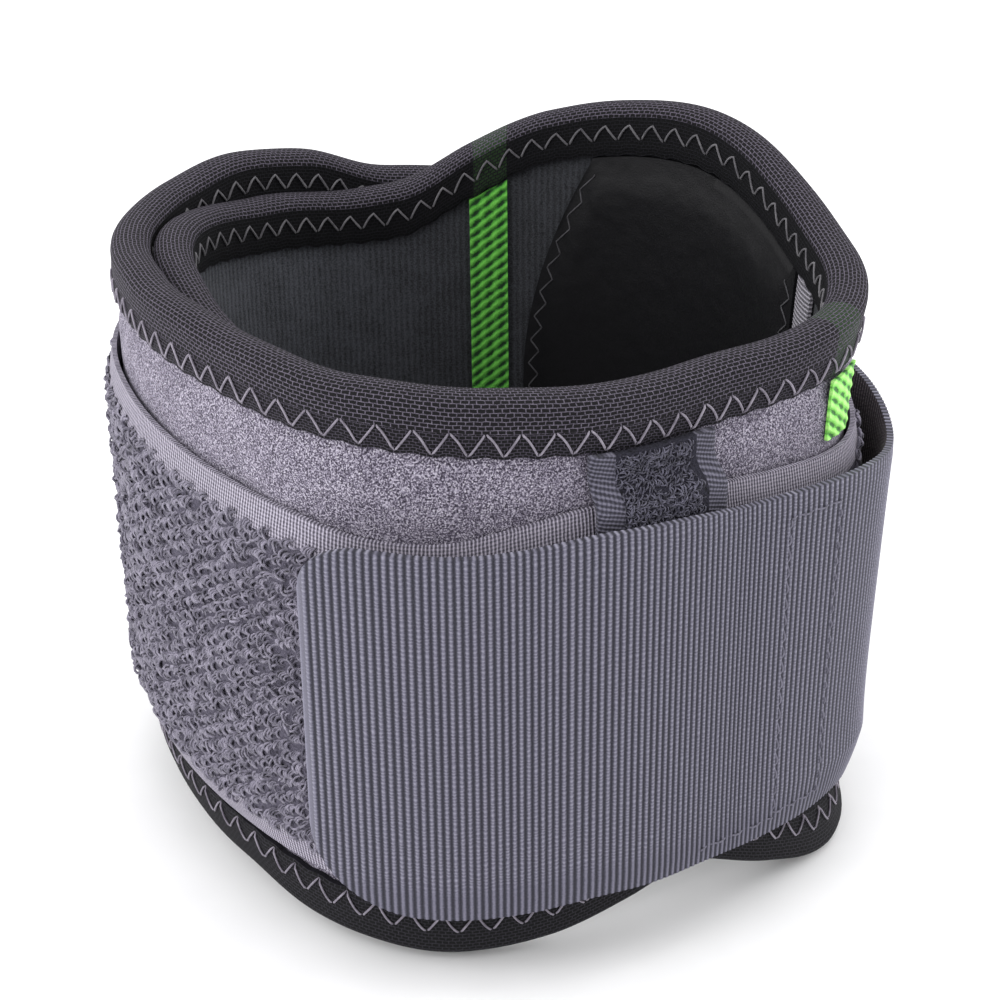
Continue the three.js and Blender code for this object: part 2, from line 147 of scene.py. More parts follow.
# Turn, lower edge, laps climbed over, slack at the upper edge, slack at the lower one, and tuck
PULL = (
    (240, 0.15, 0, 0.44, 0.44, 0), (250, 0.141, 0, 0.44, 0.44, 0), (260, 0.14, 0, 0.45, 0.44, 0),
    (270, 0.138, 0, 0.45, 0.44, 0), (280, 0.146, 0, 0.46, 0.46, 0), (290, 0.159, 0, 0.46, 0.48, 0),
    (300, 0.158, 0, 0.5, 0.5, 0), (310, 0.161, 0, 0.52, 0.48, 0), (320, 0.16, 0, 0.5, 0.38, 0),
    (330, 0.157, 0, 0.52, 0.22, 0.2), (340, 0.147, 0, 0.62, 0.08, 0.5),
    (350, 0.125, 0, 0.7, 0.03, 0.65), (362, 0.117, 0, 0.73, 0.03, 0.6), (375, 0.11, 0, 0.75, 0.03, 0.3),
    (395, 0.098, 0.12, 0.6, 0.15, 0), (412, 0.09, 0.5, 0.3, 0.15, 0), (428, 0.092, 0.92, 0.1, 0.1, 0),
    (440, 0.104, 1, 0.03, 0.03, 0), (470, 0.122, 1, 0.03, 0.03, 0),
)


def curve_through(rows, column):
    """Smooth curve through one column of a table."""
    turns = np.array([row[0] for row in rows], float)
    values = np.array([row[column] for row in rows], float)
    before = np.maximum(np.arange(len(rows)) - 1, 0)
    after = np.minimum(np.arange(len(rows)) + 1, len(rows) - 1)
    slopes = (values[after] - values[before]) / (turns[after] - turns[before])

    def at(turn):
        turn = np.asarray(turn, float)
        index = np.clip(np.searchsorted(turns, turn) - 1, 0, len(turns) - 2)
        span = turns[index + 1] - turns[index]
        share = np.clip((turn - turns[index]) / span, 0, 1)
        square = share * share
        cube = square * share
        return (
            values[index] * (2 * cube - 3 * square + 1)
            + values[index + 1] * (3 * square - 2 * cube)
            + slopes[index] * span * (cube - 2 * square + share)
            + slopes[index + 1] * span * (cube - square)
        )

    return at


form_rows = [
    (turn + 360 * lap, reach * ARM_RADIUS - LAP_PITCH * lap, spread * ARM_RADIUS, flare * ARM_RADIUS)
    for lap in (-1, 0, 1, 2)
    for turn, reach, spread, flare in FORM
]
reach_at = curve_through(form_rows, 1)
spread_at = curve_through(form_rows, 2)
flare_at = curve_through(form_rows, 3)
rim_share = curve_through(EDGES, 1)
hem_share = curve_through(EDGES, 2)
pile_share = curve_through(PILE, 1)
pull_share = curve_through(PULL, 1)
pull_laps = curve_through(PULL, 2)
pull_slack = curve_through(PULL, 3)
pull_hug = curve_through(PULL, 4)
pull_tuck = curve_through(PULL, 5)


def rim_at(turn):
    return rim_share(turn) * BRACE_HEIGHT


def hem_at(turn):
    return hem_share(turn) * BRACE_HEIGHT


def pile_foot_at(turn):
    return pile_share(turn) * BRACE_HEIGHT


def pull_foot_at(turn):
    return pull_share(turn) * BRACE_HEIGHT


def over_binding(turn):
    return hem_at(turn) + BIND_DEPTH + SEWN_GAP


def under_binding(turn):
    return rim_at(turn) - BIND_DEPTH - SEWN_GAP


def over_webbing(turn):
    return pile_foot_at(turn) + STRAP_WIDTH + SEWN_GAP


def pull_face_at(turn, up):
    """How far out the pull strap's inner face lies, at a distance up from its lower edge."""
    slack = pull_hug(turn) + (pull_slack(turn) - pull_hug(turn)) * up / PULL_WIDTH
    tuck = pull_tuck(turn) * np.maximum(0, 1 - up / TUCK_RISE)
    return OVER_PILE + pull_laps(turn) * LAP_PITCH + (slack - tuck) * PULL_SLACK


def run_per_degree(turn):
    slope = np.degrees(reach_at(turn + 1) - reach_at(turn - 1)) / 2
    return np.radians(np.hypot(reach_at(turn), slope))


whole_turns = np.arange(721)
run_table = np.concatenate(([0], np.cumsum(run_per_degree(whole_turns[1:] - 0.5))))


def run_at(turn):
    """Millimetres round the wall up to a turn."""
    return np.interp(turn, whole_turns, run_table)


def go_round(turn, distance):
    """The turn that lies a distance further round the wall."""
    return np.interp(run_at(turn) + distance, run_table, whole_turns)


def wall_point(turn, out, height):
    """Points so far out from the middle of the wall. Takes millimetres, gives metres."""
    angle = np.radians(turn)
    reach = reach_at(turn)
    slope = np.degrees(reach_at(turn + 1) - reach_at(turn - 1)) / 2
    length = np.hypot(reach, slope)
    normal_x = (reach * np.cos(angle) + slope * np.sin(angle)) / length
    normal_y = (reach * np.sin(angle) - slope * np.cos(angle)) / length
    from_middle = 2 * height / BRACE_HEIGHT - 1
    bend = np.where(from_middle > 0, spread_at(turn), flare_at(turn))
    shift = out + bend * np.abs(from_middle) ** 4
    sway = LEAN * (height - BRACE_HEIGHT / 2)
    x = reach * np.cos(angle) + shift * normal_x - sway
    y = reach * np.sin(angle) + shift * normal_y
    return (np.stack(np.broadcast_arrays(x, y, height), axis=-1) + GROUP_SHIFT) * MM


def unit(vectors):
    return vectors / np.linalg.norm(vectors, axis=-1, keepdims=True)


def wall_axes(turn, out, height):
    """Directions round, up and out at points on the wall."""
    round_way = unit(wall_point(turn + 0.2, out, height) - wall_point(turn - 0.2, out, height))
    up = wall_point(turn, out, height + 0.2) - wall_point(turn, out, height - 0.2)
    out_way = unit(np.cross(round_way, up))
    return round_way, np.cross(out_way, round_way), out_way


def ripple(along, across, wavelength, seed):
    """Slow, soft unevenness between -1 and 1."""
    chance = np.random.default_rng(seed)
    total = np.zeros(np.broadcast(along, across).shape)
    for _ in range(5):
        heading = chance.uniform(0, 2 * math.pi)
        pitch = wavelength * chance.uniform(0.7, 1.5)
        phase = chance.uniform(0, 2 * math.pi)
        way = along * math.cos(heading) + across * math.sin(heading)
        total += np.sin(way * 2 * math.pi / pitch + phase)
    return total / 5


def smooth(value, low, high):
    share = np.clip((value - low) / (high - low), 0, 1)
    return share * share * (3 - 2 * share)


def link_piece(mesh, name, materials):
    for material in materials:
        mesh.materials.append(material)
    piece = bpy.data.objects.new(name, mesh)
    bpy.context.scene.collection.objects.link(piece)
    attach(piece, "root")
    return piece


def sew(name, materials, columns, rows, place, zone=None, sharp=60):
    """A closed cloth from a flat grid. Columns run along it, and rows go round its section and meet.

    place gives each column and row its point and its position on the cloth in millimetres, and zone
    gives the number of the material for a place on the cloth."""
    grid = bmesh.new()
    bmesh.ops.create_grid(grid, x_segments=columns, y_segments=rows, size=0.5)
    mesh = bpy.data.meshes.new(name)
    grid.to_mesh(mesh)
    grid.free()
    flat = np.empty(len(mesh.vertices) * 3)
    mesh.vertices.foreach_get("co", flat)
    flat = flat.reshape(-1, 3)
    column = np.rint((flat[:, 0] + 0.5) * columns).astype(int)
    row = np.rint((flat[:, 1] + 0.5) * rows).astype(int)
    points, along, across = place(column, row)
    mesh.vertices.foreach_set("co", points.ravel())
    corner = np.empty(len(mesh.loops), dtype=np.int32)
    mesh.loops.foreach_get("vertex_index", corner)
    cloth = np.column_stack(np.broadcast_arrays(along, across)).astype(float)
    mesh.uv_layers.new(name="cloth").data.foreach_set("uv", cloth[corner].ravel())
    if zone is not None:
        middle = cloth[corner].reshape(-1, 4, 2).mean(axis=1)
        middle_row = row[corner].reshape(-1, 4).mean(axis=1)
        chosen = zone(middle[:, 0], middle[:, 1], middle_row)
        mesh.polygons.foreach_set("material_index", chosen.astype(np.int32))
    work = bmesh.new()
    work.from_mesh(mesh)
    bmesh.ops.remove_doubles(work, verts=work.verts, dist=2e-6)
    bmesh.ops.holes_fill(work, edges=[edge for edge in work.edges if edge.is_boundary], sides=0)
    bmesh.ops.recalc_face_normals(work, faces=work.faces)
    for face in work.faces:
        face.smooth = True
    work.to_mesh(mesh)
    work.free()
    mesh.set_sharp_from_angle(angle=math.radians(sharp))
    return link_piece(mesh, name, materials)


def thread(name, material, path, out_way, radius, closed=False):
    """A round thread along a path, from a flat grid rolled round it."""
    count = len(path)
    along = np.roll(path, -1, axis=0) - np.roll(path, 1, axis=0)
    if not closed:
        along[0] = path[1] - path[0]
        along[-1] = path[-1] - path[-2]
    along = unit(along)
    side_way = unit(np.cross(along, out_way))
    lift_way = np.cross(side_way, along)
    run = np.concatenate(([0], np.cumsum(np.linalg.norm(np.diff(path, axis=0), axis=1)))) / MM
    columns = count if closed else count - 1

    def place(column, row):
        at = column % count
        turn = 2 * math.pi * row / THREAD_SIDES
        ring = np.cos(turn)[:, None] * side_way[at] + np.sin(turn)[:, None] * lift_way[at]
        return path[at] + ring * radius * MM, run[at], row / THREAD_SIDES

    return sew(name, [material], columns, THREAD_SIDES, place, sharp=180)


def scatter(name, material, shape, origins, frames):
    """Copies of one small shape, joined. frames holds three column vectors for each copy."""
    base = np.array([vertex.co for vertex in shape.verts])
    faces = np.array([[vertex.index for vertex in face.verts] for face in shape.faces])
    points = origins[:, None, :] + np.einsum("nij,kj->nki", frames, base)
    first_vertex = (np.arange(len(origins)) * len(base))[:, None, None]
    joined = (faces[None] + first_vertex).reshape(-1, faces.shape[1])
    mesh = bpy.data.meshes.new(name)
    mesh.from_pydata(points.reshape(-1, 3), [], joined.tolist())
    mesh.shade_smooth()
    return link_piece(mesh, name, [material])


def curl(arc, twist, thick, steps=6):
    """An arch of thread of radius one, standing on the origin: a ring spun part of the way round."""
    shape = bmesh.new()
    made = bmesh.ops.create_circle(shape, segments=3, radius=thick)
    bmesh.ops.translate(shape, verts=made["verts"], vec=(1, 0, 0))
    bmesh.ops.spin(
        shape, geom=shape.verts[:] + shape.edges[:], cent=(0, 0, 0), axis=(0, -1, 0),
        dvec=(0, twist / steps, 0), angle=math.radians(arc), steps=steps, use_merge=False,
    )
    bmesh.ops.recalc_face_normals(shape, faces=shape.faces)
    shape.verts.index_update()
    return shape


# Finishes

def tone(red, green, blue):
    """A colour as a screen shows it, 0 to 255, made linear for a shader."""
    levels = [channel / 255 for channel in (red, green, blue)]
    return tuple(v / 12.92 if v <= 0.04045 else ((v + 0.055) / 1.055) ** 2.4 for v in levels) + (1,)


def grey(share):
    return (share, share, share, 1)


class Finish:
    """One cloth's nodes, grown from its pattern to its shader."""

    def __init__(self, name, roughness=0.9, sheen=0.0, sheen_tint=(1, 1, 1, 1), specular=0.3):
        self.material = bpy.data.materials.new(name)
        self.material.use_nodes = True
        self.tree = self.material.node_tree
        self.shader = self.tree.nodes["Principled BSDF"]
        self.shader.inputs["Roughness"].default_value = roughness
        self.shader.inputs["Specular IOR Level"].default_value = specular
        self.shader.inputs["Sheen Weight"].default_value = sheen
        self.shader.inputs["Sheen Roughness"].default_value = 0.5
        self.shader.inputs["Sheen Tint"].default_value = sheen_tint
        self.object_place = self.add("ShaderNodeTexCoord").outputs["Object"]
        self.cloth_place = self.add("ShaderNodeUVMap", uv_map="cloth").outputs["UV"]

    def add(self, kind, inputs=None, **settings):
        node = self.tree.nodes.new(kind)
        for name, value in settings.items():
            setattr(node, name, value)
        for name, value in (inputs or {}).items():
            self.feed(node.inputs[name], value)
        return node

    def feed(self, socket, value):
        if isinstance(value, bpy.types.NodeSocket):
            self.tree.links.new(value, socket)
        else:
            socket.default_value = value

    def reckon(self, operation, first, second=0.0, third=0.0):
        inputs = {0: first, 1: second, 2: third}
        return self.add("ShaderNodeMath", inputs, operation=operation).outputs[0]

    def shift(self, operation, inputs):
        return self.add("ShaderNodeVectorMath", inputs, operation=operation).outputs[0]

    def weigh(self, *terms):
        """The sum of values, each times its weight."""
        total = 0.0
        for value, weight in terms:
            total = self.reckon("MULTIPLY_ADD", value, weight, total)
        return total

    def wave(self, value, pitch):
        """From 1 to 0 and back over each pitch."""
        turned = self.reckon("MULTIPLY", value, 2 * math.pi / pitch)
        return self.reckon("MULTIPLY_ADD", self.reckon("COSINE", turned), 0.5, 0.5)

    def split(self, vector):
        parts = self.add("ShaderNodeSeparateXYZ", {0: vector})
        return parts.outputs[0], parts.outputs[1]

    def noise(self, vector, scale, detail=2, roughness=0.6):
        inputs = {"Vector": vector, "Scale": scale, "Detail": detail, "Roughness": roughness}
        return self.add("ShaderNodeTexNoise", inputs).outputs["Fac"]

    def cells(self, vector, scale):
        inputs = {"Vector": vector, "Scale": scale}
        return self.add("ShaderNodeTexVoronoi", inputs).outputs["Distance"]

    def ramp(self, value, *stops):
        node = self.add("ShaderNodeValToRGB", {"Fac": value})
        elements = node.color_ramp.elements
        while len(elements) < len(stops):
            elements.new(0.5)
        for element, (position, colour) in zip(elements, stops):
            element.position = position
            element.color = colour
        return node.outputs["Color"]

    def blend(self, share, first, second, way="MIX"):
        node = self.add("ShaderNodeMix", data_type="RGBA", blend_type=way)
        self.feed(node.inputs["Factor"], share)
        self.feed(node.inputs[6], first)
        self.feed(node.inputs[7], second)
        return node.outputs[2]

    def bricks(self, vector, width, height, gap, soft=0.3):
        """1 between the cells of a brick pattern and 0 inside them."""
        inputs = {
            "Vector": vector, "Scale": 1.0, "Mortar Size": gap, "Mortar Smooth": soft,
            "Brick Width": width, "Row Height": height,
        }
        node = self.add("ShaderNodeTexBrick", inputs, offset=0.5, offset_frequency=2, squash=1.0)
        return node.outputs["Fac"]

    def wander(self, vector, scale, amount):
        """A position on the cloth, pushed about a little, so that no row is quite straight."""
        inputs = {"Vector": vector, "Scale": scale, "Detail": 1.0}
        push = self.add("ShaderNodeTexNoise", inputs).outputs["Color"]
        centred = self.shift("SUBTRACT", {0: push, 1: (0.5, 0.5, 0.5)})
        scaled = self.shift("SCALE", {0: centred, "Scale": amount})
        return self.shift("ADD", {0: vector, 1: scaled})

    def bump(self, height, depth, below=None):
        """Relief of a real depth in millimetres."""
        inputs = {"Height": height, "Distance": depth * MM, "Strength": 1.0}
        if below is not None:
            inputs["Normal"] = below
        return self.add("ShaderNodeBump", inputs).outputs["Normal"]

    def finish(self, colour, normal=None):
        self.feed(self.shader.inputs["Base Color"], colour)
        if normal is not None:
            self.feed(self.shader.inputs["Normal"], normal)
        return self.material


def plush_finish():
    cloth = Finish("plush_knit", roughness=0.9, sheen=0.12, sheen_tint=(0.9, 0.87, 1, 1))
    place = cloth.object_place
    nap = cloth.noise(place, 4300, 2, 0.8)
    clouds = cloth.noise(place, 260, 3)
    sparkle = cloth.cells(place, 2200)
    low, middle, high = tone(46, 40, 54), tone(114, 107, 125), tone(202, 196, 211)
    colour = cloth.ramp(nap, (0.39, low), (0.5, middle), (0.61, high))
    shade = cloth.ramp(clouds, (0.3, (0.68, 0.67, 0.7, 1)), (0.7, grey(1)))
    colour = cloth.blend(1.0, colour, shade, "MULTIPLY")
    glint = cloth.ramp(sparkle, (0.1, grey(0.6)), (0.24, grey(0)))
    colour = cloth.blend(glint, colour, tone(238, 234, 244))
    return cloth.finish(colour, cloth.bump(clouds, 0.5, cloth.bump(nap, 0.3)))


def lining_finish():
    """Dark lining, with painted shade that darkens it towards the pad."""
    cloth = Finish("charcoal_lining", roughness=0.9, sheen=0.08)
    along = cloth.split(cloth.wander(cloth.cloth_place, 0.4, 0.5))[0]
    ribs = cloth.wave(along, 0.95)
    fluff = cloth.noise(cloth.object_place, 4500, 2)
    clouds = cloth.noise(cloth.object_place, 260, 3)
    lit = cloth.weigh((fluff, 0.8), (ribs, 0.12), (clouds, 0.25))
    colour = cloth.ramp(lit, (0.4, tone(40, 41, 44)), (0.75, tone(92, 94, 102)))
    # Painted shade: the lining's colour is darkened over SHADE_WIDTH millimetres as it nears the pad
    shade_start = run_at(SHADE_TURN) - run_at(OUTER_END)
    from_pad = cloth.reckon("MULTIPLY_ADD", along, 1 / SHADE_WIDTH, -shade_start / SHADE_WIDTH)
    shade = cloth.ramp(from_pad, (0.0, grey(0.42)), (1.0, grey(1)))
    colour = cloth.blend(1.0, colour, shade, "MULTIPLY")
    return cloth.finish(colour, cloth.bump(ribs, 0.08))


def mesh_finish(name, light, dark, hole, cell, tapes):
    """An open knit, through which the tapes behind it show green. A cell has a width, a height and
    the gap to the next one."""
    cloth = Finish(name, roughness=0.8, specular=0.18)
    width, height, gap = cell
    place = cloth.wander(cloth.cloth_place, 0.9, 0.26)
    between = cloth.bricks(place, width, height, gap, 0.6)
    strands = cloth.noise(cloth.cloth_place, 3.2, 3, 0.75)
    yarn = cloth.ramp(strands, (0.35, dark), (0.65, light))
    along = cloth.split(cloth.cloth_place)[0]
    for tape in tapes:
        away = cloth.reckon("ABSOLUTE", cloth.reckon("SUBTRACT", along, tape))
        near = cloth.reckon("LESS_THAN", away, GREEN_WIDTH / 2)
        hole = cloth.blend(near, hole, tone(34, 52, 31))
    colour = cloth.blend(between, hole, yarn)
    relief = cloth.bump(between, 0.22)
    return cloth.finish(colour, cloth.bump(strands, 0.05, relief))


def corded_finish(name, light, middle, groove, pitch, heading, depth=0.15):
    """Fine cords a pitch apart, at an angle to the length of the cloth."""
    cloth = Finish(name, roughness=0.8, sheen=0.08)
    along, across = cloth.split(cloth.wander(cloth.cloth_place, 0.6, 0.2))
    turned = math.radians(heading)
    cords = cloth.wave(cloth.weigh((along, math.sin(turned)), (across, math.cos(turned))), pitch)
    fluff = cloth.noise(cloth.object_place, 5500, 2)
    picks = cloth.wave(cloth.weigh((across, math.sin(turned)), (along, -math.cos(turned))), 0.46)
    lit = cloth.weigh((fluff, 0.6), (cords, 0.45), (picks, 0.22))
    colour = cloth.ramp(lit, (0.35, groove), (0.62, middle), (0.9, light))
    return cloth.finish(colour, cloth.bump(cords, depth))


def elastic_finish(name, light, middle, groove, bead, pitch):
    """Ribs in step with the strap's own, with a stitch at every bead."""
    cloth = Finish(name, roughness=0.75, specular=0.3, sheen=0.08)
    along, across = cloth.split(cloth.cloth_place)
    drift = cloth.noise(cloth.cloth_place, 0.5, 1)
    fluff = cloth.noise(cloth.cloth_place, 4.5, 2, 0.8)
    ribs = cloth.wave(along, pitch)
    stitches = cloth.wave(cloth.weigh((across, 1), (drift, 1.2)), 0.56)
    woven = cloth.ramp(cloth.reckon("MULTIPLY", across, 0.1), (0.35, grey(0.1)), (0.6, grey(1)))
    beads = cloth.reckon("MULTIPLY", cloth.reckon("POWER", stitches, 2), cloth.reckon("POWER", ribs, 2))
    beads = cloth.reckon("MULTIPLY", beads, woven)
    lit = cloth.weigh((ribs, 0.66), (fluff, 0.75))
    colour = cloth.ramp(lit, (0.36, groove), (0.7, middle), (1.0, light))
    edge = cloth.ramp(along, (0.35, grey(0.5)), (0.9, grey(0)))
    colour = cloth.blend(edge, cloth.blend(beads, colour, bead), bead)
    return cloth.finish(colour, cloth.bump(beads, 0.1))


def ground_finish(name, light, dark, pit):
    """The ground between the tufts, with small pits painted dark as shade."""
    cloth = Finish(name, roughness=0.95)
    fluff = cloth.noise(cloth.object_place, 3000, 3, 0.7)
    pits = cloth.cells(cloth.object_place, 1000)
    colour = cloth.ramp(fluff, (0.36, dark), (0.62, light))
    # Painted shade: the pits take the dark pit colour where shade would fall in them
    painted_pit_shade = cloth.ramp(pits, (0.15, grey(1)), (0.36, grey(0)))
    colour = cloth.blend(painted_pit_shade, colour, pit)
    return cloth.finish(colour, cloth.bump(fluff, 0.4))


def yarn_finish(name, light, dark, scale=900, sheen=0.15):
    cloth = Finish(name, roughness=0.8, specular=0.25, sheen=sheen)
    change = cloth.noise(cloth.object_place, scale, 2)
    fibre = cloth.noise(cloth.object_place, 9000, 2)
    colour = cloth.ramp(cloth.weigh((change, 0.6), (fibre, 0.4)), (0.38, dark), (0.62, light))
    return cloth.finish(colour, cloth.bump(fibre, 0.05))


def pad_finish():
    cloth = Finish("black_pad_cover", roughness=0.6, specular=0.22)
    weave = cloth.noise(cloth.object_place, 4200, 2)
    clouds = cloth.noise(cloth.object_place, 180, 2)
    colour = cloth.ramp(weave, (0.3, tone(7, 7, 9)), (0.7, tone(17, 16, 20)))
    return cloth.finish(colour, cloth.bump(clouds, 0.4, cloth.bump(weave, 0.06)))


def green_finish(name, light, middle, gap):
    cloth = Finish(name, roughness=0.7, specular=0.3, sheen=0.1)
    along, across = cloth.split(cloth.wander(cloth.cloth_place, 0.8, 0.4))
    strokes = cloth.wave(cloth.weigh((along, 0.8), (across, 1)), GREEN_PITCH)
    columns = cloth.wave(along, GREEN_WIDTH / 3)
    fibre = cloth.noise(cloth.cloth_place, 4.0, 2)
    lit = cloth.weigh((strokes, 0.5), (columns, 0.2), (fibre, 0.4))
    colour = cloth.ramp(lit, (0.3, gap), (0.5, middle), (0.85, light))
    return cloth.finish(colour, cloth.bump(lit, 0.35))


plush = plush_finish()
lining = lining_finish()
selvage = corded_finish(
    "woven_selvage", tone(186, 180, 195), tone(130, 125, 140), tone(62, 58, 70), 0.42, 90)
pile_ground = ground_finish("pile_ground", tone(94, 90, 104), tone(67, 64, 77), tone(40, 38, 47))
pile_yarn = yarn_finish("pile_yarn", tone(144, 139, 155), tone(74, 71, 84))
keeper_selvage = corded_finish(
    "keeper_selvage", tone(108, 106, 121), tone(66, 64, 78), tone(32, 31, 40), 0.52, 16, 0.12)
keeper_ground = ground_finish("keeper_ground", tone(46, 45, 57), tone(30, 29, 39), tone(20, 20, 27))
keeper_yarn = yarn_finish("keeper_yarn", tone(104, 102, 119), tone(32, 31, 42), 1500)
seam_thread = yarn_finish("seam_thread", tone(148, 142, 154), tone(106, 100, 112), 600, 0.1)
dark_thread = yarn_finish("lining_thread", tone(112, 110, 114), tone(76, 74, 79), 600, 0.1)
pad_cover = pad_finish()
pad_thread = yarn_finish("pad_thread", tone(84, 83, 87), tone(52, 51, 55), 600, 0.05)
box_thread = yarn_finish("box_thread", tone(118, 116, 130), tone(88, 86, 98), 600, 0.05)
# Painted light and shade: one green knit in two copies, the inner one darkened for the shade inside the
# band and the outer one brightened where the light falls on it
inner_green = green_finish("shaded_inner_green_knit", tone(112, 200, 78), tone(66, 146, 46), tone(14, 50, 18))
outer_green = green_finish("lit_outer_green_knit", tone(186, 255, 140), tone(138, 232, 96), tone(50, 110, 44))
hook_cloth = ground_finish("hook_strip", tone(66, 64, 68), tone(40, 38, 42), tone(18, 18, 20))
edge_cords = corded_finish(
    "folded_cords", tone(168, 164, 174), tone(118, 115, 124), tone(58, 56, 62), 0.6, 0, 0.2)

# The band

band_start = go_round(OUTER_END, FOLD_ROOM)
band_end = go_round(INNER_END, -FOLD_ROOM)
corner_start = go_round(band_start, END_CORNER)
corner_end = go_round(band_end, -END_CORNER)


def band_top(turn):
    return rim_at(turn) - FOLD_ROOM


def band_foot(turn):
    return hem_at(turn) + FOLD_ROOM


def corner_loss(distance, radius):
    """Height that a rounded corner takes away at a distance from the end."""
    inside = np.clip(radius - distance, 0, radius)
    return radius - np.sqrt(radius * radius - inside * inside)


def rows_round(face_rows):
    """Shares of the height for rows that go up the outer face and down the inner one."""
    up = np.linspace(0, 1, face_rows)
    face = np.repeat((1.0, -1.0), face_rows)
    return np.concatenate((up, up[::-1], up[:1])), np.append(face, 1)


def make_band():
    columns, face_rows = 300, 30
    rise, face = rows_round(face_rows)
    length = run_at(band_end) - run_at(band_start)

    def place(column, row):
        distance = length * column / columns
        turn = go_round(band_start, distance)
        from_end = np.minimum(distance, length - distance)
        anchor = np.clip(turn, corner_start, corner_end)
        loss = corner_loss(from_end, END_CORNER)
        foot = band_foot(anchor) + loss
        height = foot + (band_top(anchor) - loss - foot) * rise[row]
        from_edge = np.minimum(height - foot, band_top(anchor) - loss - height)
        swell = smooth(from_edge, BIND_DEPTH - FOLD_ROOM, BIND_DEPTH - FOLD_ROOM + 3.4)
        swell = swell * smooth(from_end, BIND_DEPTH, BIND_DEPTH + 3.4)
        uneven = 0.2 * ripple(distance, height, 14, 3) * swell
        out = np.where(face[row] > 0, WALL / 2 + WALL_PUFF * swell + uneven, -WALL / 2)
        return wall_point(turn, out, height), distance, height

    def zone(along, across, row):
        return np.where(row < face_rows, 0, 1)

    piece = sew("padded_band", [plush, lining], columns, len(rise) - 1, place, zone, sharp=50)
    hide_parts("brace_band")


make_band()


# The binding, round the whole edge of the band

def binding_path(step):
    """Turn, height and way inward at close points round the band's edge, the run to each, and how
    many of them lie along the rim."""
    count = int((run_at(corner_end) - run_at(corner_start)) / step)
    along = np.interp(
        np.linspace(run_at(corner_start), run_at(corner_end), count), run_table, whole_turns)
    quarter = np.linspace(0, math.pi / 2, 14)[1:-1]
    places = [(along, band_top(along), 0 * along, 0 * along - 1)]

    def corner(turn, height, from_angle):
        angle = from_angle - quarter
        across, up = np.cos(angle), np.sin(angle)
        return go_round(turn, END_CORNER * across), height + END_CORNER * up, -across, -up

    def side(turn, low, high, inward):
        heights = np.linspace(low, high, int(abs(high - low) / step))
        return 0 * heights + turn, heights, 0 * heights + inward, 0 * heights

    end_top, end_foot = band_top(corner_end) - END_CORNER, band_foot(corner_end) + END_CORNER
    start_top, start_foot = band_top(corner_start) - END_CORNER, band_foot(corner_start) + END_CORNER
    places.append(corner(corner_end, end_top, math.pi / 2))
    places.append(side(band_end, end_top, end_foot, -1))
    places.append(corner(corner_end, end_foot, 0))
    places.append((along[::-1], band_foot(along[::-1]), 0 * along, 0 * along + 1))
    places.append(corner(corner_start, start_foot, -math.pi / 2))
    places.append(side(band_start, start_foot, start_top, 1))
    places.append(corner(corner_start, start_top, -math.pi))
    path = np.concatenate([np.stack(place, axis=1) for place in places])
    points = wall_point(path[:, 0], 0, path[:, 1]) / MM
    steps = np.linalg.norm(np.diff(np.vstack((points, points[:1])), axis=0), axis=1)
    return path, np.concatenate(([0], np.cumsum(steps))), count


edge_path, edge_run, rim_count = binding_path(1.1)
edge_length = edge_run[-1]
closed_path = np.vstack((edge_path, edge_path[:1]))
inner_green_start = go_round(PAD_TURN, PAD_LENGTH + PAD_BULGE + PAD_GAP)
outer_green_start = go_round(GREEN_TURN, -GREEN_WIDTH / 2)


def rim_run(turn):
    """The run along the binding to a turn on the rim."""
    return float(np.interp(turn, edge_path[:rim_count, 0], edge_run[:rim_count]))


def on_binding(run, depth, out):
    """Points on the binding: run round the edge, depth inward from the cut edge of the band."""
    run = run % edge_length
    turn, height, across, up = (np.interp(run, edge_run, closed_path[:, part]) for part in range(4))
    wobble = 0.3 * ripple(run, 0 * run, 17, 8) * smooth(-depth, -6, 0)
    return wall_point(go_round(turn, across * depth), out, height + up * (depth + wobble))


def binding_section():
    """The folded tape: depth inward and distance out round its section, outer skin first."""
    deep = BIND_DEPTH - FOLD_ROOM
    leg = np.linspace(deep, 0.4, 10)
    roll = np.linspace(0, math.pi, 13)[1:-1]
    skin = [(depth, BOUND_FACE - 0.25 * smooth(depth, deep - 1.2, deep)) for depth in leg]
    skin += [(0.4 - (0.4 + FOLD_ROOM) * math.sin(a), BOUND_FACE * math.cos(a)) for a in roll]
    skin += [(depth, -BOUND_FACE + 0.25 * smooth(depth, deep - 1.2, deep)) for depth in leg[::-1]]
    channel = WALL / 2 + SEWN_GAP
    inside = [(deep, -channel), (deep / 2, -channel), (-SEWN_GAP, -channel)]
    inside += [(depth, -out) for depth, out in inside[::-1]]
    skin, inside = np.array(skin, float), np.array(inside, float)
    steps = np.linalg.norm(np.diff(skin, axis=0), axis=1)
    width = np.concatenate(([0], np.cumsum(steps), np.full(len(inside), 0.0)))
    return np.vstack((skin, inside)), width, len(skin)


stitch_count = round(edge_length / 3.9)
stitch_pitch = edge_length / stitch_count


def binding_finishes():
    tapes = (rim_run(inner_green_start) + GREEN_WIDTH / 2, rim_run(GREEN_TURN))
    hole, shaded_shut_hole, hem_hole = tone(15, 14, 17), tone(6, 6, 8), tone(15, 15, 17)
    open_cell, fine_cell, shut_cell = (0.88, 0.52, 0.105), (0.7, 0.42, 0.08), (0.8, 0.5, 0.1)
    return [
        mesh_finish("open_mesh_tape", tone(108, 102, 116), tone(54, 50, 60), hole, open_cell, tapes),
        mesh_finish("fine_mesh_tape", tone(82, 77, 89), tone(50, 47, 56), hole, fine_cell, tapes),
        # Painted shade: the inner leg is the same tape as the outer one, coloured near black for the shade
        # inside the band
        mesh_finish("shaded_inner_mesh_tape", tone(30, 29, 35), tone(17, 17, 21), shaded_shut_hole, shut_cell, tapes),
        # Painted shade: the hem's run of the same tape is coloured darker than the rim's, for the shade
        # low on the band
        mesh_finish("shaded_hem_mesh_tape", tone(54, 52, 59), tone(33, 32, 37), hem_hole, shut_cell, ()),
    ]


